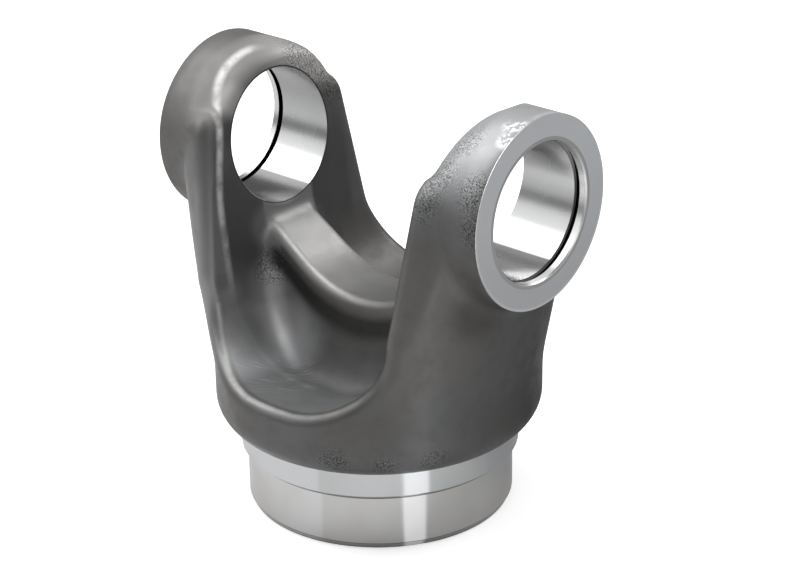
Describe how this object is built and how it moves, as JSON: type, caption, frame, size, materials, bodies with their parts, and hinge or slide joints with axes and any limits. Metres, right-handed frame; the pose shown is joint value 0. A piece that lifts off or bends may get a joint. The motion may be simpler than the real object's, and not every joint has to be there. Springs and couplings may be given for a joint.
{
  "type": "driveshaft weld yoke",
  "caption": "Forged driveshaft tube yoke: bored ears with snap-ring grooves, a ribbed saddle between the arms, and a turned pilot and weld land for the tube.",
  "frame": {"origin": "centre of the pilot's bottom face, on the shaft axis", "axes": "+Z along the shaft axis towards the ears, +X along the bearing bores, +Y across both"},
  "size_m": [0.145, 0.1165, 0.1569],
  "materials": {
    "forged_steel": "as forged and shot blasted, dark warm grey with a satin sheen; turned bright on the pilot, land, ear faces and bores"
  },
  "bodies": {
    "root": {"weld_yoke": "forged_steel"}
  },
  "joints": []
}
